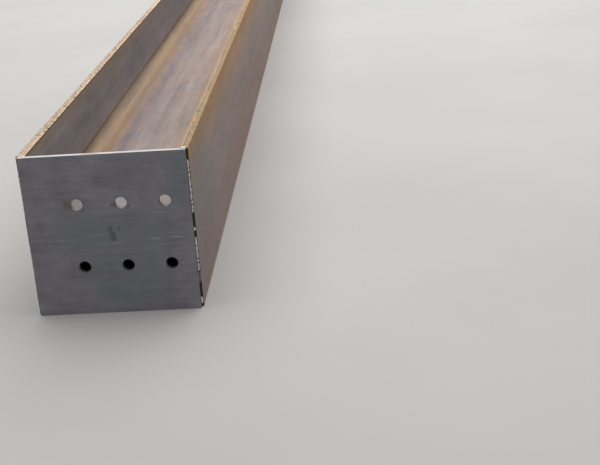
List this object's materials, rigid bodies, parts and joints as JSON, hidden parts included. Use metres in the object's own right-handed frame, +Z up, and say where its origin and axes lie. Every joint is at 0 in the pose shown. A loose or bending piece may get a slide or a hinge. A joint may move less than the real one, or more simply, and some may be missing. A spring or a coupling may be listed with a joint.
{
  "type": "steel i-beam with bolted end plate",
  "caption": "Rolled wide-flange steel beam lying with its web level, with a flat bolted end plate welded across its near end.",
  "frame": {"origin": "middle of the underside, on the level surface the beam lies on", "axes": "+Y along the beam away from the end plate, X across the section's depth from flange to flange, +Z up"},
  "size_m": [0.308, 6.01, 0.3073],
  "materials": {
    "mill_scale_steel": "hot-rolled mill scale with lengthwise brown and ochre rust streaks, bare of paint",
    "plate_steel": "dark blue-grey mill scale on flat plate, matte, with bright cut edges",
    "weld_metal": "light grey rippled weld metal"
  },
  "bodies": {
    "root": {"i_section": "mill_scale_steel", "end_plate": "plate_steel", "upper_trough_weld": "weld_metal", "lower_trough_weld": "weld_metal", "right_edge_welds": "weld_metal", "left_edge_welds": "weld_metal", "seam_tack": "weld_metal"}
  },
  "joints": []
}
